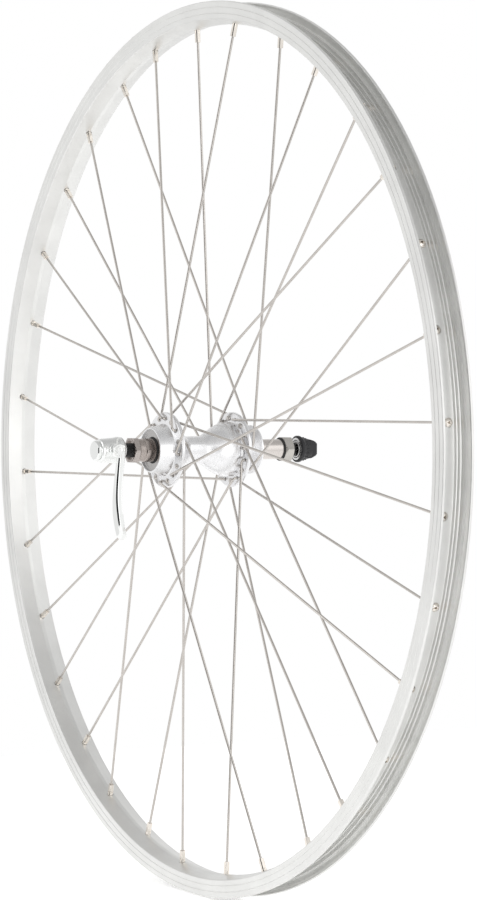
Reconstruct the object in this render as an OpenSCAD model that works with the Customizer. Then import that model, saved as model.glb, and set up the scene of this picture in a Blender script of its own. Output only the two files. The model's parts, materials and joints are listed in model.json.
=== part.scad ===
// Rear bicycle wheel for a screw-on freewheel, with a quick release skewer.
// The axle lies along Y, with the lever at -Y and the freewheel thread at +Y.
// The origin is the middle of the wheel: the axle axis crossed by the rim's centre plane.

/* [Rim] */
// Outer radius of the rim, at the tips of its two flanges
rim_outer_r = 317; // [310:0.5:325]
// Radius of the shoulders that the tyre beads sit on
bead_seat_r = 311; // [308:0.5:312]
// Radius of the floor of the well, where the nipple heads sit
well_floor_r = 303.9; // [303:0.1:305]
// Radius of the edge between sidewall and inner face
rim_edge_r = 303.9; // [303:0.1:305]
// Radius of the blunt ridge along the middle of the inner face
rim_ridge_r = 301.1; // [300:0.1:301.5]
// Overall width of the rim
rim_w = 23.6; // [22:0.2:26]
// Diameter of the valve hole
valve_d = 8.5; // [6.5:0.1:8.6]

/* [Spokes] */
// Number of spokes
spoke_count = 32; // [32:4:36]
// How many other spokes each spoke crosses
crossings = 3; // [2:1:3]
// Spoke diameter
spoke_d = 1.8; // [1.8:0.1:2]
// How far each row of nipples stands from the rim's centre plane
nipple_offset = 1.2; // [0:0.1:2]
// Length of a nipple, from the seat of its head to its open end
nipple_l = 11.5; // [10:0.5:14]
// Angle of the first nipple from straight up, towards -X
wheel_turn = -6.6; // [-45:0.1:45]

/* [Hub] */
// Distance over the two locknuts
over_locknuts = 130; // [126:1:135]
// Flange diameter
flange_d = 53.4; // [50:0.2:56]
// Diameter of the circle of spoke holes
hole_circle_d = 44.8; // [44:0.2:46]
// Place of the left flange's middle plane
left_flange_y = -36.1; // [-38:0.1:-34]
// Place of the right flange's middle plane
right_flange_y = 17.7; // [17:0.1:19]
// Outer diameter of the freewheel thread
freewheel_d = 34.8; // [34.6:0.1:35]
// Diameter of the barrel between the flanges
barrel_d = 19; // [18:0.5:20]

/* [Bearings] */
// Ball diameter
ball_d = 6.35; // [6.35:0.01:6.35]
// Number of balls in each bearing
ball_count = 9; // [7:1:9]
// Radius of the circle that the ball centres run on
ball_circle_r = 9.6; // [9.6:0.05:9.8]
// Running clearance between a ball and its races
ball_gap = 0.05; // [0.02:0.01:0.08]

/* [Axle] */
// Axle diameter
axle_d = 10; // [9.5:0.5:10]
// Bore of the hollow axle
axle_bore_d = 5.5; // [5.4:0.1:6]
// How far the axle stands out of each locknut
axle_stub = 4.5; // [3:0.5:5]
// Width across the flats of the locknuts
locknut_af = 17; // [16:1:17]

/* [Quick release] */
// Skewer rod diameter
rod_d = 5; // [4.8:0.1:5]
// Distance of the lever's pivot from the centre plane
pivot_reach = 81; // [80:0.5:82]
// Height of the cam, half of what the rod travels as the lever turns over
cam_throw = 1.1; // [0.8:0.1:1.2]
// Length of the lever from its pivot to its tip
lever_l = 62; // [58:1:68]
// Greatest width of the lever
lever_w = 8.7; // [7:0.1:10]
// Inner face of the quick release nut
nut_face_y = 71.3; // [71:0.1:72]

/* [Hidden] */
$fn = 48;
lap = 0.1;
LEFT = -1;
RIGHT = 1;

// Rim profile
half_w = rim_w / 2;
wall_t = 1.6;
hook_t = 2.1;
step_1_r = 306;
step_2_r = 308.5;
groove_r = [308.1, 312.5];
groove_d = 0.25;

// Spokes and nipples
pitch = 360 / spoke_count;
hub_lead = crossings * 2 * pitch;
hole_r = hole_circle_d / 2;
spoke_r = spoke_d / 2;
bend_r = 2.6;
bend_swell = 0.02;
bend_lift = 0.25;
flange_t = 3;
spoke_hole_r = 1.25;
spoke_head_r = 1.9;
spoke_head_t = 1.3;
nipple_r = 2;
nipple_flat = 3.25;
nipple_head_r = 3;
nipple_head_t = 2.1;
nipple_sink = 0.5;
nipple_bore_r = spoke_r + 0.03;
thread_in = 9.5;

// Hub and bearings, where a side's own distances run outwards from its ball centres
ball_r = ball_d / 2;
race_r = ball_r + ball_gap;
left_ball_y = -41.5;
right_ball_y = 28;
cup_r = 14.2;
cap_bore_r = 14.8;
cap_hole_r = 9.45;
left_end = 7.5;
right_end = 6.5;
left_cone_l = 13.9;
right_cone_l = 8.5;
axle_r = axle_d / 2;
thread_fit = 0.03;
seal_r = 9.15;
cone_r = 8.3;
half_over = over_locknuts / 2;
left_nut_t = 4.6;
right_nut_t = 7;
right_washer_t = 1;

// Quick release
rod_r = rod_d / 2;
boss_x = 9.7;
boss_r = 5.3;
journal_r = 4;
cam_r = 2.8;
cam_half_l = 5.4;
housing_bore_r = 5.3;
housing_in = 73.4;
housing_r = 9.6;
lever_x = 12.3;
lever_hub_r = 4.9;
lever_hub_t = 4.8;
eye_slot_r = cam_r + 0.3;
nut_r = 9.6;
grip_r = 8;
wire_r = 0.45;

// Turns a shape drawn around Z so that Z points out of the wheel on one side
module outward(side) rotate([-90 * side, 0, 0]) children();

// The same, moved to a distance from the centre plane
module on_side(side, distance) outward(side) translate([0, 0, distance]) children();

// Points on an arc around a centre
function arc(c, r, from, to, n) =
    [for (i = [0:n]) let (a = from + (to - from) * i / n) c + r * [cos(a), sin(a)]];

// A ring with square edges
module ring(outer_r, inner_r, h) {
    difference() {
        cylinder(r = outer_r, h = h);
        translate([0, 0, -1]) cylinder(r = inner_r, h = h + 2);
    }
}

// A hexagonal nut with chamfered corners, bored for the axle
module hex_nut(h, chamfer_top, chamfer_bottom) {
    corner_r = locknut_af / 2 / cos(30);
    face_r = locknut_af / 2 - 0.3;
    difference() {
        intersection() {
            cylinder(r = corner_r, h = h, $fn = 6);
            rotate_extrude()
                polygon([[0, 0], [face_r, 0], [corner_r, chamfer_bottom],
                    [corner_r, h - chamfer_top], [face_r, h], [0, h]]);
        }
        translate([0, 0, -1]) cylinder(r = axle_r + thread_fit, h = h + 2);
    }
}

// Shallow radial grooves, cut around a ring of teeth
module serrations(inner_r, outer_r, count, depth) {
    for (i = [0:count - 1])
        rotate([0, 0, i * 360 / count])
            translate([inner_r - 0.6, -0.25, -depth])
                cube([outer_r - inner_r + 1.6, 0.5, depth + 1]);
}

// ---------------------------------------------------------------- rim

// One half of the rim's section as [radius, distance from the centre plane], from the blunt
// ridge of the inner face round the flange and down the steps of the well
function rim_half() = concat(
    [[rim_ridge_r, 1.4]],
    arc([rim_edge_r + 0.9, half_w - 0.9], 0.9, 190, 90, 5),
    [for (r = groove_r) each
        [[r - 0.3, half_w], [r - 0.1, half_w - groove_d], [r + 0.1, half_w - groove_d],
         [r + 0.3, half_w]]],
    arc([rim_outer_r - 0.9, half_w - 0.9], 0.9, 90, 0, 4),
    arc([rim_outer_r - 0.8, half_w - hook_t + 0.6], 0.8, 0, -110, 4),
    [[bead_seat_r + 3.4, half_w - wall_t],
     [bead_seat_r, half_w - wall_t],
     [bead_seat_r, 7.9], [step_2_r + 0.2, 7.6],
     [step_2_r, 6.6], [step_1_r + 0.2, 6.3],
     [step_1_r, 5.6], [well_floor_r + 0.2, 5.2],
     [well_floor_r, 4.9]]);

// The whole section: the mirror image of the half, then the half back to the ridge
module rim_section() {
    half = rim_half();
    polygon(concat([for (p = half) [p[0], -p[1]]], [for (i = [len(half) - 1:-1:0]) half[i]]));
}

// Angle of a nipple, and whether its spoke leaves the hub ahead of it or behind it
function nipple_angle(k) = wheel_turn + k * pitch;
function lead_sign(k) = k % 4 < 2 ? 1 : -1;
function side_of(k) = k % 2 == 0 ? LEFT : RIGHT;
function around(r, a, y) = [-r * sin(a), y, r * cos(a)];

// Where the seat of nipple k is, and where its spoke leaves the flange
function nipple_seat(k) = around(well_floor_r, nipple_angle(k), side_of(k) * nipple_offset);
function flange_y(k) = side_of(k) == LEFT ? left_flange_y : right_flange_y;

// The side of the flange that spoke k leaves from, as a direction along Y
function exit_dir(k) = lead_sign(k) > 0 ? -side_of(k) : side_of(k);
function bend_start(k) = around(hole_r, nipple_angle(k) + lead_sign(k) * hub_lead,
    flange_y(k) + exit_dir(k) * (flange_t / 2 + bend_lift));

// Reach of spoke k across the wheel, its height along the exit direction, and its bend angle
function reach(k) = let (d = nipple_seat(k) - bend_start(k)) norm([d[0], d[2]]);
function height(k) = (nipple_seat(k) - bend_start(k))[1] * exit_dir(k);
function run(k) = norm([reach(k) - bend_r, height(k)]);
function bend(k) = 90 + asin(bend_r / run(k)) - atan2(height(k), reach(k) - bend_r);
function straight_l(k) = sqrt(run(k) * run(k) - bend_r * bend_r);
function heading(k) = let (d = nipple_seat(k) - bend_start(k)) atan2(-d[2], d[0]);

// Places a shape at the start of a spoke's bend: Z runs out of the flange, X towards the rim
module at_bend(k) {
    translate(bend_start(k)) rotate([0, heading(k), 0]) rotate([-90 * exit_dir(k), 0, 0]) children();
}

// Places a shape at the end of a spoke's bend, with Z along the straight spoke
module at_straight(k) {
    at_bend(k)
        translate([bend_r * (1 - cos(bend(k))), 0, bend_r * sin(bend(k))])
            rotate([0, bend(k), 0]) children();
}

module at_nipple(k) at_straight(k) translate([0, 0, straight_l(k)]) children();

module rim() {
    valve_angle = nipple_angle(spoke_count * 5 / 8 - 0.5);
    color("gainsboro")
    difference() {
        outward(RIGHT) rotate_extrude($fn = 240) rim_section();
        for (k = [0:spoke_count - 1])
            at_nipple(k) {
                translate([0, 0, -6]) cylinder(r = nipple_r + 0.2, h = 8, $fn = 24);
                translate([0, 0, -nipple_sink]) cylinder(r = nipple_head_r + 0.15, h = 4, $fn = 24);
            }
        rotate([0, -valve_angle, 0]) translate([0, 0, rim_ridge_r - 3])
            cylinder(d = valve_d, h = 9);
    }
}

// ---------------------------------------------------------------- spokes and nipples

module spoke(k) {
    shank_l = flange_t + bend_lift;
    at_bend(k) {
        translate([0, 0, -shank_l - lap]) cylinder(r = spoke_r, h = shank_l + 2 * lap, $fn = 20);
        translate([0, 0, -shank_l - spoke_head_t])
            rotate_extrude($fn = 20)
                polygon([[0, 0], [spoke_head_r - 0.6, 0], [spoke_head_r - 0.1, 0.4],
                    [spoke_head_r, spoke_head_t], [0, spoke_head_t]]);
        translate([bend_r, 0, 0]) rotate([90, 0, 180])
            rotate_extrude(angle = bend(k), $fn = 64)
                translate([bend_r, 0]) circle(r = spoke_r + bend_swell, $fn = 20);
    }
    at_straight(k)
        translate([0, 0, -lap])
            cylinder(r = spoke_r, h = straight_l(k) - nipple_l + thread_in + lap, $fn = 20);
}

module spoke_set(first) {
    color("silver") for (k = [first:4:spoke_count - 1]) spoke(k);
}

module spokes_left_inner() spoke_set(0);
module spokes_right_inner() spoke_set(1);
module spokes_left_outer() spoke_set(2);
module spokes_right_outer() spoke_set(3);

module nipple(k) {
    round_l = nipple_l - 6.5;
    at_nipple(k)
    difference() {
        union() {
            translate([0, 0, -nipple_sink])
                rotate_extrude($fn = 24)
                    polygon(concat([[0, 0]], [[nipple_head_r, 0], [nipple_head_r, 0.7]],
                        arc([0, -1.2], 3.55, 32, 68, 4), [[0, nipple_head_t]]));
            translate([0, 0, -round_l]) cylinder(r = nipple_r, h = round_l, $fn = 24);
            intersection() {
                translate([-nipple_flat / 2, -nipple_flat / 2, -nipple_l])
                    cube([nipple_flat, nipple_flat, nipple_l]);
                translate([0, 0, -nipple_l]) cylinder(r = nipple_r, h = nipple_l, $fn = 24);
            }
        }
        translate([0, 0, -nipple_l - 1]) cylinder(r = nipple_bore_r, h = nipple_l + 4, $fn = 20);
        translate([-nipple_head_r - 1, -0.5, nipple_head_t - nipple_sink - 0.9])
            cube([nipple_head_r * 2 + 2, 1, 2]);
    }
}

module nipple_set(first) {
    color("lightgray") for (k = [first:2:spoke_count - 1]) nipple(k);
}

module nipples_left() nipple_set(0);
module nipples_right() nipple_set(1);

// ---------------------------------------------------------------- hub

// Outer profile of the hub shell as [radius, place along the axle], from left to right
function hub_outline() =
    let (fl = left_flange_y - flange_t / 2, fr = right_flange_y + flange_t / 2,
         edge = flange_d / 2, waist = barrel_d / 2, root_r = 18.4,
         left_end_y = left_ball_y - left_end, right_end_y = right_ball_y + right_end)
    concat(
        [[15.2, left_end_y], [15.6, left_end_y + 0.4], [root_r, fl - 1.2]],
        arc([root_r + 1.2, fl - 1.2], 1.2, 180, 90, 3),
        arc([edge - 0.9, fl + 0.9], 0.9, -90, 0, 3),
        arc([edge - 0.9, fl + flange_t - 0.9], 0.9, 0, 90, 3),
        [for (i = [0:8]) let (t = i / 8)
            [waist + (19.4 - waist) * (1 + cos(180 * t)) / 2, fl + flange_t + 14.5 * t]],
        [for (i = [0:10]) let (t = i / 10)
            [waist + (19.4 - waist) * pow(sin(90 * t), 1.25), -9 + 22 * t]],
        [[19.4, 13.6], [19, 14.6], [19.4, fr - flange_t]],
        arc([edge - 0.9, fr - flange_t + 0.9], 0.9, -90, 0, 3),
        arc([edge - 0.9, fr - 0.9], 0.9, 0, 90, 3),
        [[19.3, fr], [19.3, fr + 3], [freewheel_d / 2 - 0.8, fr + 3.4],
         [freewheel_d / 2 - 0.8, fr + 4.6],
         [freewheel_d / 2, fr + 5], [freewheel_d / 2, right_end_y - 0.6],
         [freewheel_d / 2 - 0.6, right_end_y]]);

module hub_shell() {
    left_end_y = left_ball_y - left_end;
    right_end_y = right_ball_y + right_end;
    color("whitesmoke")
    difference() {
        outward(RIGHT) rotate_extrude($fn = 96)
            polygon(concat([[0, left_end_y]], hub_outline(), [[0, right_end_y]]));
        outward(RIGHT) translate([0, 0, left_end_y - 1]) cylinder(r = 6.8, h = 100);
        for (side = [LEFT, RIGHT])
            on_side(side, side == LEFT ? -left_ball_y : right_ball_y) {
                translate([0, 0, -5.2]) cylinder(r = cup_r, h = 30);
                translate([0, 0, 3.7]) cylinder(r = cap_bore_r, h = 30);
            }
        for (k = [0:spoke_count - 1])
            translate(around(hole_r, nipple_angle(k) + lead_sign(k) * hub_lead, flange_y(k)))
                rotate([90, 0, 0])
                    cylinder(r = spoke_hole_r, h = flange_t + 2, center = true, $fn = 20);
    }
}

// Pressed steel cup that the balls run in
module bearing_cup() {
    color("dimgray")
    rotate_extrude($fn = 72)
        difference() {
            translate([8.4, -5.2]) square([cup_r - 8.4, 8.9]);
            translate([ball_circle_r, 0]) circle(r = race_r, $fn = 64);
            translate([8, -3.6]) square([ball_circle_r - 8, 10]);
            translate([8, 0]) square([ball_circle_r + race_r - 8, 10]);
        }
}

module bearing_cup_left() on_side(LEFT, -left_ball_y) bearing_cup();
module bearing_cup_right() on_side(RIGHT, right_ball_y) bearing_cup();

// Pressed cover with a turned-in skirt, around the cone
module dust_cap() {
    color("darkgray")
    rotate_extrude($fn = 72)
        polygon([[cap_hole_r, 4.6], [13.9, 4.6], [13.9, 3.7], [cap_bore_r, 3.7], [cap_bore_r, 5.6],
            [cap_bore_r - 0.4, 5.6], [13.6, 5.4], [cap_hole_r, 5.4]]);
}

module dust_cap_left() on_side(LEFT, -left_ball_y) dust_cap();
module dust_cap_right() on_side(RIGHT, right_ball_y) dust_cap();

module ball_set() {
    color("silver")
    for (i = [0:ball_count - 1])
        rotate([0, 0, i * 360 / ball_count]) translate([ball_circle_r, 0, 0]) sphere(r = ball_r, $fn = 32);
}

module balls_left() on_side(LEFT, -left_ball_y) ball_set();
module balls_right() on_side(RIGHT, right_ball_y) ball_set();

// ---------------------------------------------------------------- axle

module axle() {
    end_y = half_over + axle_stub;
    color("dimgray")
    outward(RIGHT)
    difference() {
        rotate_extrude()
            polygon([[0, -end_y], [axle_r - 0.7, -end_y], [axle_r, -end_y + 0.7],
                [axle_r, end_y - 0.7], [axle_r - 0.7, end_y], [0, end_y]]);
        translate([0, 0, -end_y - 1]) cylinder(d = axle_bore_d, h = 2 * end_y + 2);
    }
}

// Cone with its ball race, seal land, neck and two wrench flats
module cone(l, flat_l) {
    flat_w = 15;
    color("rosybrown")
    difference() {
        rotate_extrude($fn = 72)
            polygon(concat(
                [[axle_r + thread_fit, -1.9], [6.4, -1.9]],
                arc([ball_circle_r, 0], race_r, 200, 102, 10),
                [[8.6, 3.6], [8.2, 3.8], [8.2, 6.2], [cone_r, 6.6],
                 [cone_r, l - 0.5], [cone_r - 0.5, l], [axle_r + thread_fit, l]]));
        for (s = [-1, 1])
            translate([s * (flat_w + 10) / 2, 0, l - flat_l / 2 + 1])
                cube([10, 30, flat_l + 2], center = true);
    }
}

module cone_left() on_side(LEFT, -left_ball_y) rotate([0, 0, 25]) cone(left_cone_l, 3.5);
module cone_right() on_side(RIGHT, right_ball_y) cone(right_cone_l, 1.6);

// Rubber seal that turns against the dust cap's hole
module seal() {
    color("black")
    rotate_extrude($fn = 72)
        polygon([[8.2, 4.3], [seal_r, 4.3], [seal_r, 5.9], [seal_r - 0.5, 6.2], [8.2, 6.2]]);
}

module seal_left() on_side(LEFT, -left_ball_y) seal();
module seal_right() on_side(RIGHT, right_ball_y) seal();

module spacer_left() {
    start = -left_ball_y + left_cone_l;
    l = half_over - left_nut_t - start;
    color("rosybrown")
    on_side(LEFT, start)
        rotate_extrude()
            polygon([[axle_r + thread_fit, 0], [7.7, 0], [8.1, 0.4], [8.1, l - 0.4], [7.7, l],
                [axle_r + thread_fit, l]]);
}

module spacer_right() {
    start = right_ball_y + right_cone_l;
    l = half_over - right_nut_t - right_washer_t - start;
    color("tan") on_side(RIGHT, start) ring(7.2, axle_r + thread_fit, l);
}

module washer_right() {
    color("black")
    on_side(RIGHT, half_over - right_nut_t - right_washer_t)
        rotate_extrude()
            polygon([[axle_r + thread_fit, 0], [8, 0], [8.4, 0.3], [8.4, right_washer_t],
                [axle_r + thread_fit, right_washer_t]]);
}

module locknut_left() {
    color("gray")
    on_side(LEFT, half_over - left_nut_t)
    difference() {
        hex_nut(left_nut_t, 0.6, 0.9);
        translate([0, 0, left_nut_t - 1.8]) cylinder(r = 6.7, h = 4);
        translate([0, 0, left_nut_t]) serrations(6.7, locknut_af / 2, 24, 0.25);
    }
}

module locknut_right() {
    color("darkgray")
    on_side(RIGHT, half_over - right_nut_t)
    difference() {
        hex_nut(right_nut_t, 0.8, 1.4);
        translate([0, 0, right_nut_t]) serrations(6.6, locknut_af / 2, 24, 0.25);
    }
}

// ---------------------------------------------------------------- quick release

// A conical coil of wire between two distances, as one swept tube
module coil(r_start, r_end, h, turns) {
    steps = 18 * turns;
    sides = 8;
    function point(i, j) = let (t = i / steps, a = 360 * turns * t, b = 360 * j / sides,
        r = r_start + (r_end - r_start) * t + wire_r * cos(b))
        [r * cos(a), r * sin(a), h * t + wire_r * sin(b)];
    points = [for (i = [0:steps]) for (j = [0:sides - 1]) point(i, j)];
    walls = [for (i = [0:steps - 1]) for (j = [0:sides - 1]) let (n = (j + 1) % sides)
        [i * sides + j, i * sides + n, (i + 1) * sides + n, (i + 1) * sides + j]];
    start_face = [[for (j = [0:sides - 1]) sides - 1 - j]];
    end_face = [[for (j = [0:sides - 1]) steps * sides + j]];
    polyhedron(points = points, faces = concat(start_face, walls, end_face));
}

module spring_left() {
    color("silver") on_side(LEFT, half_over + axle_stub + 0.6) coil(3.6, 6.2, 6, 4);
}

module spring_right() {
    color("silver") on_side(RIGHT, half_over + axle_stub + 0.6) coil(3.6, 5.4, 4, 3);
}

// Barrel that holds the cam, with a boss on each side for the cam's journals
module lever_housing() {
    color("gainsboro")
    difference() {
        union() {
            outward(LEFT)
                rotate_extrude($fn = 72)
                    polygon(concat([[0, housing_in]],
                        [[housing_r - 0.2, housing_in], [housing_r, housing_in + 0.4]],
                        arc([housing_r - 2.5, housing_in + 2.2], 2.5, 0, 18, 3),
                        [[8.3, 88.2], [7.9, 89.4], [6.9, 90], [0, 90]]));
            translate([-boss_x, -pivot_reach, 0]) rotate([0, 90, 0]) cylinder(r = boss_r, h = 2 * boss_x);
        }
        on_side(LEFT, housing_in - 1) cylinder(r = 7.4, h = 4.4);
        on_side(LEFT, housing_in) cylinder(r = housing_bore_r, h = 30);
        translate([-20, -pivot_reach, 0]) rotate([0, 90, 0]) cylinder(r = journal_r + 0.05, h = 40);
    }
}

module housing_end_cap() {
    color("whitesmoke")
    on_side(LEFT, 0)
        rotate_extrude($fn = 72)
            polygon([[0, 88.4], [housing_bore_r, 88.4], [housing_bore_r, 90], [5.7, 90], [5.7, 90.7],
                [7, 90.9], [7, 92.5], [6.2, 93.3], [0, 93.3]]);
}

// Hardened ring that bites the frame, set in the housing's open end
module grip_ring_left() {
    color("silver")
    on_side(LEFT, housing_in - 0.7)
    difference() {
        ring(9.2, 7.5, 0.7);
        rotate([180, 0, 0]) serrations(7.5, 9.2, 30, 0.3);
    }
}

// Place along the axle of the lever's outer face, from 0 at the pivot to 1 at the tip
function lever_y(t) = -pivot_reach - 3 * sin(180 * pow(t, 1.3)) + 1.5 * pow(t, 3);

// Thickness of the lever, and half its width
function lever_t(t) = 4.8 - 0.4 * t;
function lever_half_w(t) = 2.4 + (lever_w / 2 - 2.4) * min(1, pow(t / 0.7, 1.8));

module lever() {
    n = 28;
    tip_r = lever_w / 2;
    color("gainsboro")
    difference() {
        union() {
            translate([lever_x - lever_hub_t / 2 - 0.05, -pivot_reach, 0]) rotate([0, 90, 0])
                cylinder(r = lever_hub_r, h = lever_hub_t);
            intersection() {
                translate([lever_x + 10, 0, 0]) rotate([0, -90, 0])
                    linear_extrude(height = 20)
                        polygon(concat(
                            [for (i = [0:n]) let (t = i / n) [-lever_l * t, lever_y(t)]],
                            [for (i = [n:-1:0]) let (t = i / n) [-lever_l * t, lever_y(t) + lever_t(t)]]));
                translate([lever_x, -60, 0]) rotate([90, 0, 0])
                    linear_extrude(height = 40)
                        union() {
                            polygon(concat(
                                [for (i = [0:n]) let (t = i / n)
                                    [lever_half_w(t), -(lever_l - tip_r) * t]],
                                [for (i = [n:-1:0]) let (t = i / n)
                                    [-lever_half_w(t), -(lever_l - tip_r) * t]]));
                            translate([0, -(lever_l - tip_r)]) circle(r = tip_r);
                        }
            }
        }
        translate([lever_x - 5, -pivot_reach, 0]) rotate([0, 90, 0]) cylinder(r = 3, h = 5.2);
    }
}

// Cam between two journals, with a spigot in the lever and a groove for the clip
module cam_shaft() {
    color("darkgray")
    translate([0, -pivot_reach, 0]) rotate([0, 90, 0])
    union() {
        translate([0, 0, cam_half_l]) cylinder(r = journal_r, h = boss_x - cam_half_l);
        translate([0, 0, boss_x - 1]) cylinder(r = 3, h = lever_x + 0.2 - boss_x + 1);
        translate([0, -cam_throw, -cam_half_l - lap]) cylinder(r = cam_r, h = 2 * (cam_half_l + lap));
        translate([0, 0, -boss_x - 0.1]) cylinder(r = journal_r, h = boss_x + 0.1 - cam_half_l);
        translate([0, 0, -boss_x - 1.2]) cylinder(r = 2.6, h = 2);
        translate([0, 0, -boss_x - 2]) cylinder(r = 3.4, h = 1.1);
    }
}

module cam_clip() {
    color("dimgray")
    translate([-boss_x - 0.85, -pivot_reach, 0]) rotate([0, 90, 0])
    difference() {
        ring(4.8, 2.63, 0.7);
        translate([0, -1.1, -1]) cube([10, 2.2, 3]);
    }
}

// Rod with a slotted eye for the cam at one end and a thread at the other
module skewer_rod() {
    rod_end = 83.2;
    eye_in = 77.2;
    eye_out = 86.6;
    eye_r = 5.1;
    slot_rise = cam_throw + 0.1;
    color("silver")
    difference() {
        outward(LEFT)
            rotate_extrude()
                polygon([[0, -rod_end], [rod_r - 0.5, -rod_end], [rod_r, -rod_end + 0.5],
                    [rod_r, eye_in - 0.8],
                    [eye_r, eye_in], [eye_r, eye_out - 0.5], [eye_r - 0.5, eye_out], [0, eye_out]]);
        for (z = [-slot_rise, slot_rise])
            translate([-10, -pivot_reach - cam_throw, z]) rotate([0, 90, 0])
                cylinder(r = eye_slot_r, h = 20);
        translate([-10, -pivot_reach - cam_throw - eye_slot_r, -slot_rise])
            cube([20, 2 * eye_slot_r, 2 * slot_rise]);
    }
}

// Moulded nut with a ribbed collar and a flat grip
module quick_release_nut() {
    collar_y = nut_face_y + 4.4;
    grip_y = nut_face_y + 8.8;
    end_y = nut_face_y + 15.2;
    color("black")
    difference() {
        union() {
            outward(RIGHT)
                rotate_extrude($fn = 72)
                    polygon([[0, nut_face_y], [nut_r - 0.5, nut_face_y], [nut_r, nut_face_y + 0.5],
                        [nut_r, nut_face_y + 2], [8.9, nut_face_y + 3], [8.2, collar_y],
                        [7.4, grip_y], [6.2, end_y - 1.5], [5.5, end_y], [0, end_y]]);
            intersection() {
                translate([-4.2, nut_face_y + 5.5, -7.2]) cube([8.4, end_y - nut_face_y - 5.5, 14.4]);
                translate([-10, grip_y - 0.1, 0]) rotate([0, 90, 0]) cylinder(r = 6.8, h = 20);
            }
            for (i = [0:15])
                rotate([0, 22.5 * i, 0]) translate([0, collar_y - 0.9, 7.9]) rotate([-90, 0, 0])
                    cylinder(r = 0.6, h = 3, $fn = 16);
        }
        for (s = [-1, 1])
            translate([s * 14.2, grip_y + 6, 0]) cube([20, 9, 20], center = true);
        on_side(RIGHT, nut_face_y - 1) cylinder(r = 6.3, h = 4.6);
        on_side(RIGHT, nut_face_y - 1) cylinder(r = grip_r, h = 2);
        on_side(RIGHT, nut_face_y + 3) cylinder(r = 4.5, h = 7);
        on_side(RIGHT, nut_face_y + 3) cylinder(r = 3, h = 10.9);
    }
}

module nut_insert() {
    color("darkgray") on_side(RIGHT, nut_face_y + 3.6) ring(4.5, rod_r + thread_fit, 6.4);
}

module grip_ring_right() {
    color("silver")
    on_side(RIGHT, nut_face_y - 0.4)
    difference() {
        ring(grip_r, 6.6, 1.4);
        rotate([180, 0, 0]) serrations(6.6, grip_r, 30, 0.3);
    }
}

// ---------------------------------------------------------------- the wheel

rim();
hub_shell();
spokes_left_inner();
spokes_left_outer();
spokes_right_inner();
spokes_right_outer();
nipples_left();
nipples_right();
bearing_cup_left();
bearing_cup_right();
dust_cap_left();
dust_cap_right();
balls_left();
balls_right();
axle();
cone_left();
cone_right();
seal_left();
seal_right();
spacer_left();
spacer_right();
washer_right();
locknut_left();
locknut_right();
spring_left();
lever_housing();
housing_end_cap();
grip_ring_left();
lever();
cam_shaft();
cam_clip();
skewer_rod();
spring_right();
quick_release_nut();
nut_insert();
grip_ring_right();
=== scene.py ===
import json
import math

import bmesh
import bpy
from mathutils import Matrix, Vector


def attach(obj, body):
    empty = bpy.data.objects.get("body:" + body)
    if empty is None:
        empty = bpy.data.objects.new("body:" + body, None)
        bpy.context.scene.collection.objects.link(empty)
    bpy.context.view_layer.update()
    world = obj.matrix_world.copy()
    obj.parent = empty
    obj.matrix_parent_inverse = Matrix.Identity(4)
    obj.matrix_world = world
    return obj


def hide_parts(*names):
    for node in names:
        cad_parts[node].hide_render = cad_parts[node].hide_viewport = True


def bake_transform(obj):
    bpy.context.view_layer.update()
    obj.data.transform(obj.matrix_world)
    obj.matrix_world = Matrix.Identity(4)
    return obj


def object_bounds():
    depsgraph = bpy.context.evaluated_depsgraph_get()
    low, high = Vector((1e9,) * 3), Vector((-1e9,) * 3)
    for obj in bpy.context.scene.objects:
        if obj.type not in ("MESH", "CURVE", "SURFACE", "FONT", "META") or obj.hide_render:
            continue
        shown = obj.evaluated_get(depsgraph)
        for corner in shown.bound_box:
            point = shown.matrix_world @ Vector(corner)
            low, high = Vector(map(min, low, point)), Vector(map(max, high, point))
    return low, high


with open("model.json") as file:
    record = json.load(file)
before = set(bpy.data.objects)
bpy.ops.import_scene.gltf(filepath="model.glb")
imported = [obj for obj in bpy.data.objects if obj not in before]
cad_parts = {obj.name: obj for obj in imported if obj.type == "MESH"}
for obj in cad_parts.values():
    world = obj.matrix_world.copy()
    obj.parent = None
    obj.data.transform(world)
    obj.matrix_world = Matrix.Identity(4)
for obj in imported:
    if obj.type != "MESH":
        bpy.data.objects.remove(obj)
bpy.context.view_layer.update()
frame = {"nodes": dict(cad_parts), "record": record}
nodes = frame["nodes"]
MM = 0.001


# ---------------------------------------------------------------- materials

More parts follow.
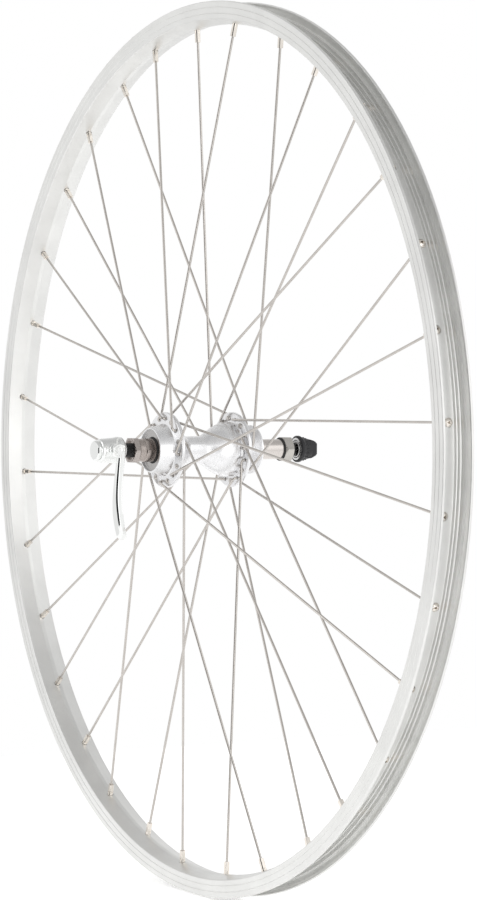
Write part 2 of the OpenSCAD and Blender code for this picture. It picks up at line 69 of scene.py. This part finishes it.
class Shader:
    """A node material with a Principled shader, and short helpers to wire it."""

    def __init__(self, name, color, metallic, roughness, **sockets):
        self.material = bpy.data.materials.new(name)
        self.material.use_nodes = True
        self.tree = self.material.node_tree
        self.bsdf = self.tree.nodes["Principled BSDF"]
        self.set("Base Color", (*color, 1))
        self.set("Metallic", metallic)
        self.set("Roughness", roughness)
        for socket, value in sockets.items():
            self.set(socket.replace("_", " "), value)
        self.color = color
        self.coord = self.add("ShaderNodeTexCoord").outputs["Object"]

    def set(self, socket, value):
        self.bsdf.inputs[socket].default_value = value

    def add(self, kind, **props):
        node = self.tree.nodes.new(kind)
        for key, value in props.items():
            setattr(node, key, value)
        return node

    def link(self, a, b):
        self.tree.links.new(a, b)

    def math(self, operation, a, b=None):
        node = self.add("ShaderNodeMath", operation=operation)
        for socket, value in zip(node.inputs, (a, b)):
            if value is None:
                continue
            if isinstance(value, (int, float)):
                socket.default_value = value
            else:
                self.link(value, socket)
        return node.outputs[0]

    def noise(self, scale, detail, vector=None):
        node = self.add("ShaderNodeTexNoise")
        node.inputs["Scale"].default_value = scale
        node.inputs["Detail"].default_value = detail
        node.inputs["Roughness"].default_value = 0.55
        self.link(vector or self.coord, node.inputs["Vector"])
        return node.outputs["Fac"]

    def spread(self, value, low, high):
        """value, which runs from about 0.3 to 0.7, stretched to run from low to high."""
        node = self.add("ShaderNodeMapRange")
        node.inputs["From Min"].default_value = 0.3
        node.inputs["From Max"].default_value = 0.7
        node.inputs["To Min"].default_value = low
        node.inputs["To Max"].default_value = high
        self.link(value, node.inputs["Value"])
        return node.outputs["Result"]

    def ramp(self, value, stops):
        node = self.add("ShaderNodeValToRGB")
        elements = node.color_ramp.elements
        while len(elements) < len(stops):
            elements.new(0.5)
        for element, (at, color) in zip(elements, stops):
            element.position = at
            element.color = (*color, 1)
        self.link(value, node.inputs["Fac"])
        return node.outputs["Color"]

    def tint(self, value, amount):
        """Base colour that drifts by amount around the plain colour."""
        low = tuple(max(0, c * (1 - amount)) for c in self.color)
        high = tuple(min(1, c * (1 + amount)) for c in self.color)
        self.link(self.ramp(value, [(0.35, low), (0.65, high)]), self.bsdf.inputs["Base Color"])

    def rough(self, value, low, high):
        self.link(self.spread(value, low, high), self.bsdf.inputs["Roughness"])

    def bump(self, height, depth, strength=1.0, after=None):
        node = self.add("ShaderNodeBump")
        node.inputs["Distance"].default_value = depth
        node.inputs["Strength"].default_value = strength
        self.link(height, node.inputs["Height"])
        if after is not None:
            self.link(after, node.inputs["Normal"])
        self.link(node.outputs["Normal"], self.bsdf.inputs["Normal"])
        return node.outputs["Normal"]

    def turned(self, along, around):
        """Texture vector whose noise runs in rings around the axle."""
        split = self.add("ShaderNodeSeparateXYZ")
        self.link(self.coord, split.inputs[0])
        x, y, z = split.outputs
        radius = self.math("SQRT", self.math("ADD", self.math("MULTIPLY", x, x),
                                             self.math("MULTIPLY", z, z)))
        join = self.add("ShaderNodeCombineXYZ")
        self.link(self.math("MULTIPLY", radius, along), join.inputs[0])
        self.link(self.math("MULTIPLY", y, along), join.inputs[1])
        self.link(self.math("MULTIPLY", self.math("ARCTAN2", x, z), around), join.inputs[2])
        return join.outputs[0]


def turned_metal(name, color, rough, lines, depth, drift=0.03):
    """Metal turned on a lathe or extruded: fine rings, uneven roughness, faint clouds."""
    s = Shader(name, color, 1.0, rough[0])
    rings = s.noise(1.0, 4.0, s.turned(lines, 1.5))
    cloud = s.noise(38, 4.0)
    s.tint(cloud, drift)
    s.rough(rings, *rough)
    first = s.bump(rings, depth)
    s.bump(s.noise(2600, 2.0), depth * 0.6, 0.5, first)
    return s.material


def plain_metal(name, color, rough, grain, depth, drift=0.05):
    """Metal with a fine all-round grain, such as plate, forging or wire."""
    s = Shader(name, color, 1.0, rough[0])
    s.tint(s.noise(90, 5.0), drift)
    s.rough(s.noise(420, 4.0), *rough)
    s.bump(s.noise(grain, 3.0), depth, 0.5)
    return s.material


def moulded(name, color, rough, grain, depth):
    """Moulded plastic or rubber with a spark-eroded texture."""
    s = Shader(name, color, 0.0, rough[0], IOR=1.5)
    s.tint(s.noise(160, 4.0), 0.25)
    s.rough(s.noise(700, 3.0), *rough)
    first = s.bump(s.noise(grain, 2.0), depth)
    s.bump(s.noise(120, 2.0), depth * 2, 0.25, first)
    return s.material


MATERIALS = {
    "rim_metal": turned_metal("rim_aluminium", (0.79, 0.79, 0.775), (0.32, 0.44), 1500, 0.000010),
    "hub_metal": turned_metal("hub_aluminium", (0.85, 0.85, 0.86), (0.22, 0.34), 1800, 0.000004),
    "spoke_steel": plain_metal("spoke_steel", (0.56, 0.53, 0.50), (0.12, 0.20), 1600, 0.000004),
    "nipple_plate": plain_metal("nipple_nickel", (0.80, 0.75, 0.69), (0.12, 0.26), 900, 0.000008),
    "bearing_steel": turned_metal("bearing_steel", (0.56, 0.56, 0.57), (0.10, 0.20), 2000, 0.00001),
    "cap_steel": turned_metal("cap_zinc", (0.48, 0.47, 0.46), (0.26, 0.38), 1200, 0.000010, 0.04),
    # Near-black steel: a black-oxide finish, made this dark also as painted shade for the shadow on the
    # axle ends inside the locknuts and the skewer nut.
    "black_steel": plain_metal("black_oxide_and_painted_shade", (0.05, 0.05, 0.05), (0.30, 0.50), 1300, 0.00004, 0.2),
    "cone_steel": turned_metal("cone_steel", (0.42, 0.375, 0.35), (0.16, 0.28), 1500, 0.000006, 0.05),
    "seal_rubber": moulded("seal_rubber", (0.02, 0.02, 0.02), (0.55, 0.75), 2200, 0.00004),
    "spacer_nickel": turned_metal("spacer_nickel", (0.66, 0.62, 0.59), (0.20, 0.32), 1400, 0.000006),
    "locknut_dark": plain_metal("locknut_dark", (0.46, 0.42, 0.40), (0.16, 0.28), 1100, 0.000008, 0.05),
    "locknut_steel": plain_metal("locknut_zinc", (0.52, 0.50, 0.47), (0.18, 0.30), 1100, 0.000008, 0.05),
    "spring_steel": plain_metal("spring_wire", (0.60, 0.60, 0.60), (0.15, 0.28), 1800, 0.00001),
    "lever_chrome": plain_metal("lever_chrome", (0.86, 0.87, 0.86), (0.03, 0.08), 260, 0.000004, 0.01),
    "rod_steel": turned_metal("rod_zinc", (0.60, 0.59, 0.58), (0.20, 0.34), 1700, 0.00002),
    "ring_chrome": plain_metal("ring_chrome", (0.78, 0.78, 0.78), (0.10, 0.24), 900, 0.00002),
    "nut_plastic": moulded("nut_plastic", (0.008, 0.008, 0.010), (0.38, 0.54), 2600, 0.000012),
}


# ---------------------------------------------------------------- mesh helpers, in millimetres

def rounded(points, radius, steps=4):
    """A closed outline with its corners rounded. A point may carry its own radius third."""
    out, n = [], len(points)
    for i in range(n):
        r = points[i][2] if len(points[i]) > 2 else radius
        p = Vector(points[i][:2])
        u = Vector(points[i - 1][:2]) - p
        v = Vector(points[(i + 1) % n][:2]) - p
        if r <= 0 or u.length < 1e-6 or v.length < 1e-6:
            out.append(tuple(p))
            continue
        angle = u.angle(v)
        if angle > math.radians(172) or angle < math.radians(4):
            out.append(tuple(p))
            continue
        cut = min(r / math.tan(angle / 2), u.length * 0.45, v.length * 0.45)
        r = cut * math.tan(angle / 2)
        centre = p + (u.normalized() + v.normalized()).normalized() * (r / math.sin(angle / 2))
        first, last = p + u.normalized() * cut - centre, p + v.normalized() * cut - centre
        a0 = math.atan2(first.y, first.x)
        turn = (math.atan2(last.y, last.x) - a0 + math.pi) % (2 * math.pi) - math.pi
        for k in range(steps + 1):
            a = a0 + turn * k / steps
            out.append((centre.x + r * math.cos(a), centre.y + r * math.sin(a)))
    return out


def lathe(outline, segments):
    """A closed outline of (radius, place) turned around the axle, as a mesh in metres."""
    made = bmesh.new()
    rings = []
    for i in range(segments):
        a = 2 * math.pi * i / segments
        rings.append([made.verts.new((r * math.sin(a) * MM, y * MM, r * math.cos(a) * MM))
                      for r, y in outline])
    n = len(outline)
    for i in range(segments):
        here, ahead = rings[i], rings[(i + 1) % segments]
        for j in range(n):
            k = (j + 1) % n
            if outline[j][0] < 1e-6 and outline[k][0] < 1e-6:
                continue
            made.faces.new((here[j], here[k], ahead[k], ahead[j]))
    bmesh.ops.remove_doubles(made, verts=made.verts, dist=1e-7)
    bmesh.ops.dissolve_degenerate(made, dist=1e-8, edges=made.edges)
    bmesh.ops.recalc_face_normals(made, faces=made.faces)
    return made


def loft(sections):
    """Closed loops of points joined one to the next, with both ends closed."""
    made = bmesh.new()
    rings = [[made.verts.new(Vector(p) * MM) for p in section] for section in sections]
    n = len(rings[0])
    for here, ahead in zip(rings, rings[1:]):
        for j in range(n):
            k = (j + 1) % n
            made.faces.new((here[j], here[k], ahead[k], ahead[j]))
    made.faces.new(rings[0][::-1])
    made.faces.new(rings[-1])
    bmesh.ops.recalc_face_normals(made, faces=made.faces)
    return made


def disc(outline, segments, origin, along):
    """A closed outline of (radius, distance) turned around any axis through origin."""
    made = lathe(outline, segments)
    turn = Vector((0, 1, 0)).rotation_difference(Vector(along)).to_matrix().to_4x4()
    made.transform(Matrix.Translation(Vector(origin) * MM) @ turn)
    return made


def as_object(name, made):
    mesh = bpy.data.meshes.new(name)
    made.to_mesh(mesh)
    made.free()
    obj = bpy.data.objects.new(name, mesh)
    bpy.context.scene.collection.objects.link(obj)
    return obj


def carve(obj, others, operation="DIFFERENCE"):
    """Cuts the other meshes out of obj, or joins them to it, and applies the result."""
    for other in others:
        cutter = as_object("cutter", other)
        mod = obj.modifiers.new("carve", "BOOLEAN")
        mod.operation, mod.solver, mod.object = operation, "EXACT", cutter
        done = bpy.data.meshes.new_from_object(
            obj.evaluated_get(bpy.context.evaluated_depsgraph_get()))
        obj.modifiers.clear()
        old, obj.data = obj.data, done
        bpy.data.meshes.remove(old)
        bpy.data.objects.remove(cutter)
    return obj


def joined(parts):
    """Several separate closed meshes as one."""
    whole = bmesh.new()
    for part in parts:
        mesh = bpy.data.meshes.new("part")
        part.to_mesh(mesh)
        part.free()
        whole.from_mesh(mesh)
        bpy.data.meshes.remove(mesh)
    return whole


def shade(obj, degrees=32):
    """Smooth shading that keeps an edge sharper than this angle crisp."""
    mesh = obj.data
    mesh.polygons.foreach_set("use_smooth", [True] * len(mesh.polygons))
    mesh.set_sharp_from_angle(angle=math.radians(degrees))


def piece(name, made, slot, body, *stands_for, degrees=32, held=None):
    """Finishes a piece: material, shading, the body it rides on and the nodes it stands for.
    held = (other body, start, end): only whether it is given is read; such a piece gets its transform
    baked in and is not attached to a body."""
    obj = made if isinstance(made, bpy.types.Object) else as_object(name, made)
    obj.name = name
    obj.data.materials.clear()
    obj.data.materials.append(MATERIALS[slot])
    shade(obj, degrees)
    if held:
        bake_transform(obj)
    else:
        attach(obj, body)
    if stands_for:
        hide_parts(*stands_for)
    return obj


def thread(root, crest, start, end, pitch):
    """Outline points of a V thread seen from the side, as (radius, place)."""
    turns = int((end - start) / pitch)
    out = []
    for i in range(turns):
        y = start + i * pitch
        out += [(crest, y + 0.12 * pitch), (crest, y + 0.28 * pitch),
                (root, y + 0.62 * pitch), (root, y + 0.78 * pitch)]
    return out


# ---------------------------------------------------------------- sizes in mm, as in the CAD

SPOKES = 32
PITCH = 360 / SPOKES
WHEEL_TURN = -6.6
HUB_LEAD = 6 * PITCH
HOLE_R = 22.4
LEFT_FLANGE, RIGHT_FLANGE, FLANGE_T = -36.1, 17.7, 3.0
LEFT_BALLS, RIGHT_BALLS = -41.5, 28.0
PIVOT_Y = -81.0
LEVER_X, LEVER_L, LEVER_W = 12.3, 62.0, 8.7
LEVER_ROOT_W = 4.8
AXLE_END = 69.5


def around(r, degrees, y):
    """The point at radius r and that angle round the axle, at y along it."""
    a = math.radians(degrees)
    return Vector((-r * math.sin(a), y, r * math.cos(a)))


# ---------------------------------------------------------------- hub shell

def hub_shell():
    edge, bell, neck, waist = 26.7, 19.4, 18.4, 9.5
    thread_root, thread_crest, thread_pitch = 16.95, 17.4, 1.058
    mouth, cup, bore = 14.8, 14.2, 6.8
    cup_out, cup_in = 3.7, 5.2
    fl, fr = LEFT_FLANGE - FLANGE_T / 2, RIGHT_FLANGE + FLANGE_T / 2
    end_l, end_r = LEFT_BALLS - 7.5, RIGHT_BALLS + 6.5
    outline = [(15.6, end_l, 0.35), (neck, fl - 0.9, 1.0), (edge, fl, 0.9),
               (edge, fl + FLANGE_T, 0.9)]
    left_steps, right_steps = 16, 24
    for i in range(left_steps + 1):
        t = i / left_steps
        outline.append((waist + (bell - waist) * (1 + math.cos(math.pi * t)) / 2,
                        fl + FLANGE_T + 14.5 * t, 0))
    for i in range(1, right_steps + 1):
        t = i / right_steps
        outline.append((waist + (bell - waist) * math.sin(math.pi / 2 * t) ** 1.25,
                        -9 + 22 * t, 0))
    outline += [(bell, 13.7, 0.2), (bell - 0.4, 14.4, 0.2), (bell, fr - FLANGE_T, 0.3),
                (edge, fr - FLANGE_T, 0.9), (edge, fr, 0.9), (bell - 0.1, fr, 0.5),
                (bell - 0.1, fr + 3.1, 0.4), (16.6, fr + 3.4, 0.2), (16.6, fr + 4.7, 0.2)]
    outline += [(r, y, 0.04) for r, y in
                thread(thread_root, thread_crest, fr + 5.0, end_r - 0.5, thread_pitch)]
    outline += [(16.8, end_r, 0.2), (mouth, end_r, 0.2), (mouth, RIGHT_BALLS + cup_out, 0),
                (cup, RIGHT_BALLS + cup_out, 0), (cup, RIGHT_BALLS - cup_in, 0),
                (bore, RIGHT_BALLS - cup_in, 0.3), (bore, LEFT_BALLS + cup_in, 0.3),
                (cup, LEFT_BALLS + cup_in, 0), (cup, LEFT_BALLS - cup_out, 0),
                (mouth, LEFT_BALLS - cup_out, 0), (mouth, end_l, 0.2)]
    body = as_object("hub", lathe(rounded(outline, 0.2, 5), 160))
    drill = [(0, -2.6), (2.2, -2.6), (1.25, -1.25), (1.25, 1.25), (2.2, 2.6), (0, 2.6)]
    holes = []
    for k in range(SPOKES):
        lead = HUB_LEAD if k % 4 < 2 else -HUB_LEAD
        y = LEFT_FLANGE if k % 2 == 0 else RIGHT_FLANGE
        holes.append(disc(drill, 20, around(HOLE_R, WHEEL_TURN + k * PITCH + lead, y), (0, 1, 0)))
    carve(body, [joined(holes)])
    return piece("hub_body", body, "hub_metal", "wheel", "hub_shell", degrees=24)


# ---------------------------------------------------------------- quick release lever

def lever_y(t):
    """Place along the axle of the lever's middle, from the pivot at t = 0 to the tip at t = 1."""
    return PIVOT_Y - 3 * math.sin(math.pi * t ** 1.3) + 1.5 * t ** 3


def lever_t(t):
    """The lever's thickness."""
    return 4.8 - 0.4 * t


def lever_piece():
    sections, steps, tip_from = [], 60, 0.9
    root, tip = LEVER_ROOT_W / 2, LEVER_W / 2
    for i in range(steps + 1):
        t = i / steps
        if t > tip_from:
            into_tip = (t - tip_from) / (1 - tip_from)
            t = tip_from + (1 - tip_from) * math.sin(into_tip * math.pi / 2)
        half_w = root + (tip - root) * min(1, (t / 0.7) ** 1.8)
        from_end = (1 - t) * LEVER_L
        thick = lever_t(t) / 2
        if from_end < tip:
            bite = math.sqrt(max(0.0, 1 - (1 - from_end / tip) ** 2))
            half_w *= max(bite, 0.06)
            thick *= max(min(1, bite * 1.6), 0.25)
        middle = lever_y(t) + lever_t(t) / 2
        bevel = min(1.25, half_w * 0.45, thick * 0.8)
        inner = min(0.5, half_w * 0.3, thick * 0.3)
        outline = [(-half_w, bevel - thick, 0.9), (bevel - half_w, -thick, 0.9),
                   (half_w - bevel, -thick, 0.9), (half_w, bevel - thick, 0.9),
                   (half_w, thick, inner), (-half_w, thick, inner)]
        sections.append([(LEVER_X + x, middle + y, -LEVER_L * t)
                         for x, y in rounded(outline, 0, 6)])
    body = as_object("lever", loft(sections))
    boss = [(0, -2.4), (4.9, -2.4, 0.7), (4.9, 2.4, 0.9), (3.5, 2.4, 0.1), (3.3, 2.05, 0.1),
            (3.1, 2.05, 0.1), (2.9, 2.5, 0.3), (0, 2.7)]
    carve(body, [disc(rounded(boss, 0), 96, (LEVER_X, PIVOT_Y, 0), (1, 0, 0))], "UNION")
    return piece("lever_arm", body, "lever_chrome", "lever_and_cam", "lever", degrees=38)


# ---------------------------------------------------------------- housing of the lever

def housing_piece():
    outline = [(5.3, -76.8), (7.4, -76.8), (7.4, -73.4, 0.2), (9.5, -73.4, 0.5), (9.6, -75.9, 1.2),
               (9.25, -77.2, 1.2), (8.9, -80.0, 0.8), (8.3, -88.2, 0.8), (7.9, -89.4, 0.5),
               (6.9, -90.0, 0.3), (5.3, -90.0, 0.2)]
    body = as_object("housing", lathe(rounded(outline, 0.15), 160))
    boss = [(0, 5.8), (5.3, 5.8), (5.3, 9.7, 0.5), (0, 9.7)]
    carve(body, [disc(rounded(boss, 0), 96, (0, PIVOT_Y, 0), (side, 0, 0)) for side in (1, -1)],
          "UNION")
    journal = [(0, -20), (4.05, -20), (4.05, 20), (0, 20)]
    carve(body, [disc(journal, 72, (0, PIVOT_Y, 0), (1, 0, 0))])
    return piece("lever_barrel", body, "lever_chrome", "skewer_head", "lever_housing", degrees=34)


def end_cap_piece():
    outline = [(0, -88.4), (5.3, -88.4, 0.2), (5.3, -90, 0), (5.7, -90, 0), (5.7, -90.7, 0.1),
               (7.0, -90.9, 0.3), (7.0, -92.5, 0.6), (6.2, -93.3, 0.4), (0, -93.3)]
    return piece("barrel_cap", lathe(rounded(outline, 0, 5), 128), "lever_chrome", "skewer_head",
                 "housing_end_cap")


# ---------------------------------------------------------------- springs

# Distance from the middle of the hub to a spring's inner end, and the radius of its wire
SPRING_START = 70.3
WIRE_R = 0.45


def spring(name, body, node, start, length, r_start, r_end, turns, fixed=None):
    """A conical coil, wound wider than the CAD's so that it passes round the end of the axle.
    Where a fixed body is given, the coil is left unattached with its transform baked in."""
    sections, steps, corners = [], int(turns * 48), 12
    for i in range(steps + 1):
        t = i / steps
        a = 2 * math.pi * turns * t
        out = Vector((math.sin(a), 0, math.cos(a)))
        r = r_start + (r_end - r_start) * t
        ring = []
        for k in range(corners):
            b = 2 * math.pi * k / corners
            ring.append(out * (r + WIRE_R * math.cos(b))
                        + Vector((0, start + length * t + WIRE_R * math.sin(b), 0)))
        sections.append(ring)
    held = (fixed, (0, start * MM, 0), (0, (start + length) * MM, 0)) if fixed else None
    return piece(name, loft(sections), "spring_steel", body, node, degrees=60, held=held)


# ---------------------------------------------------------------- threaded axle

def axle_piece():
    bore, chamfer, plain = 2.75, 4.4, 4.9
    thread_root, thread_crest, thread_end = 4.62, 5.0, AXLE_END - 0.3
    left_plain, right_plain = -44.0, 29.6
    outline = [(bore, -AXLE_END, 0.2), (chamfer, -AXLE_END, 0.2)]
    outline += [(r, y, 0.03) for r, y in
                thread(thread_root, thread_crest, -thread_end, left_plain, 1.0)]
    outline += [(plain, left_plain + 0.4, 0.1), (plain, right_plain - 0.6, 0.1)]
    outline += [(r, y, 0.03) for r, y in
                thread(thread_root, thread_crest, right_plain, thread_end, 1.0)]
    outline += [(chamfer, AXLE_END, 0.2), (bore, AXLE_END, 0.2)]
    # The axle's near-black colour is partly painted shade for its shadowed ends.
    return piece("axle_threaded", lathe(rounded(outline, 0, 2), 72), "black_steel", "axle_set",
                 "axle", degrees=28)


# ---------------------------------------------------------------- CAD nodes that stay

# Width of the small round put on the hard edges of each turned or milled piece
SOFT_EDGES = {"locknut_left": 0.22, "locknut_right": 0.22, "spacer_left": 0.15,
              "spacer_right": 0.2, "washer_right": 0.12, "cone_left": 0.15, "cone_right": 0.15,
              "dust_cap_left": 0.1, "dust_cap_right": 0.1, "quick_release_nut": 0.25,
              "grip_ring_left": 0.08, "grip_ring_right": 0.08}

slot_of = {s["node"]: s["material_slot"] for s in frame["record"]["subparts"]}
for name, obj in nodes.items():
    obj.data.materials.clear()
    obj.data.materials.append(MATERIALS[slot_of[name]])
    if not obj.hide_render:
        shade(obj)
    if name in SOFT_EDGES:
        edges = obj.modifiers.new("soft_edges", "BEVEL")
        edges.width, edges.segments = SOFT_EDGES[name] * MM, 2
        edges.limit_method, edges.angle_limit = "ANGLE", math.radians(28)
        edges.harden_normals = True


hub_shell()
lever_piece()
housing_piece()
end_cap_piece()
spring("spring_coil_left", "skewer_slider", "spring_left", -SPRING_START, -5.9, 5.65, 6.3, 4,
       "axle_set")
spring("spring_coil_right", "nut_slider", "spring_right", SPRING_START, 3.9, 5.55, 6.0, 3)
axle_piece()


# ---------------------------------------------------------------- camera, floor and light

scene = bpy.context.scene
scene.view_settings.view_transform = "Standard"

low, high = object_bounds()
bpy.ops.mesh.primitive_plane_add(size=1.6, location=(0, 0, low.z - 0.0005))
floor = bpy.context.object
floor.name = "floor"
paper = Shader("floor_paper", (0.93, 0.93, 0.93), 0.0, 0.9)
paper.tint(paper.noise(3, 2.0), 0.01)
paper.set("Emission Color", (1, 1, 1, 1))
paper.set("Emission Strength", 0.45)
floor.data.materials.append(paper.material)


def area(name, size, power, place, target=(0, 0, 0)):
    light = bpy.data.lights.new(name, "AREA")
    light.shape = "RECTANGLE"
    light.size, light.size_y = size
    light.energy = power
    obj = bpy.data.objects.new(name, light)
    obj.location = place
    obj.rotation_mode = "QUATERNION"
    obj.rotation_quaternion = (Vector(target) - Vector(place)).to_track_quat("-Z", "Y")
    scene.collection.objects.link(obj)
    return obj


area("key", (1.2, 2.0), 5, (-0.9, -2.4, 1.0))
area("fill", (1.2, 2.0), 5, (2.0, 2.0, 0.9))


def studio_world():
    """White to the camera. In reflections: pale walls, a soft box beside the camera, a dimmer
    ceiling, and a dark screen on the lever's side."""
    world = bpy.data.worlds.new("studio")
    scene.world = world
    world.use_nodes = True
    tree = world.node_tree
    tree.nodes.clear()
    new, link = tree.nodes.new, tree.links.new

    def smooth(value, start, end):
        node = new("ShaderNodeMapRange")
        node.interpolation_type = "SMOOTHSTEP"
        node.inputs["From Min"].default_value = start
        node.inputs["From Max"].default_value = end
        link(value, node.inputs["Value"])
        return node.outputs["Result"]

    def calc(operation, *values):
        node = new("ShaderNodeMath")
        node.operation = operation
        for socket, value in zip(node.inputs, values):
            if isinstance(value, (int, float)):
                socket.default_value = value
            else:
                link(value, socket)
        return node.outputs[0]

    coord, split = new("ShaderNodeTexCoord"), new("ShaderNodeSeparateXYZ")
    link(coord.outputs["Generated"], split.inputs[0])
    height = split.outputs["Z"]
    walls = new("ShaderNodeValToRGB")
    elements = walls.color_ramp.elements
    stops = [(0.0, 0.78), (0.50, 0.92), (0.66, 0.94), (0.80, 0.72), (1.0, 0.54)]
    while len(elements) < len(stops):
        elements.new(0.5)
    for element, (at, value) in zip(elements, stops):
        element.position = at
        element.color = (value, value, value, 1)
    link(calc("ADD", calc("MULTIPLY", height, 0.5), 0.5), walls.inputs["Fac"])

    def facing(direction):
        node = new("ShaderNodeVectorMath")
        node.operation = "DOT_PRODUCT"
        link(coord.outputs["Generated"], node.inputs[0])
        node.inputs[1].default_value = direction
        return node.outputs["Value"]

    near_level = calc("SUBTRACT", 1.0, smooth(calc("ABSOLUTE", height), 0.3, 0.6))
    screen = calc("MULTIPLY", smooth(facing((0.515, -0.857, 0)), 0.87, 0.92), near_level)
    right_glow = calc("MULTIPLY", smooth(facing((0.87, 0.493, 0)), 0.70, 0.95), 0.12)
    soft_box = calc("MULTIPLY", smooth(facing((0.92, -0.40, 0)), 0.84, 0.98), 1.2)
    strength = calc("MULTIPLY", calc("ADD", 1.0, calc("ADD", right_glow, soft_box)),
                    calc("SUBTRACT", 1.0, calc("MULTIPLY", screen, 0.97)))
    out = new("ShaderNodeOutputWorld")
    seen, lit = new("ShaderNodeBackground"), new("ShaderNodeBackground")
    mix, path = new("ShaderNodeMixShader"), new("ShaderNodeLightPath")
    seen.inputs["Color"].default_value = (1, 1, 1, 1)
    link(walls.outputs["Color"], lit.inputs["Color"])
    link(strength, lit.inputs["Strength"])
    link(path.outputs["Is Camera Ray"], mix.inputs["Fac"])
    link(lit.outputs[0], mix.inputs[1])
    link(seen.outputs[0], mix.inputs[2])
    link(mix.outputs[0], out.inputs["Surface"])


studio_world()

# Camera at the view that a fit to the rim and nipples gave
AZIMUTH, ELEVATION, ROLL = 60.457, 1.439, 0.346
DISTANCE = 2.3257
LENS = 130.57
az, el, roll = (math.radians(v) for v in (AZIMUTH, ELEVATION, ROLL))
back = Vector((math.sin(az) * math.cos(el), -math.cos(az) * math.cos(el), math.sin(el)))
right = Vector((math.cos(az), math.sin(az), 0))
up = back.cross(right)
right, up = (math.cos(roll) * right + math.sin(roll) * up,
             math.cos(roll) * up - math.sin(roll) * right)
camera = bpy.data.objects.new("camera", bpy.data.cameras.new("camera"))
scene.collection.objects.link(camera)
camera.data.lens = LENS
camera.data.sensor_width = 36
camera.data.shift_x = 0.0314
camera.data.shift_y = -0.0004
camera.data.clip_start, camera.data.clip_end = 0.05, 100
camera.matrix_world = Matrix((
    (right.x, up.x, back.x, back.x * DISTANCE),
    (right.y, up.y, back.y, back.y * DISTANCE),
    (right.z, up.z, back.z, back.z * DISTANCE),
    (0, 0, 0, 1)))
scene.camera = camera
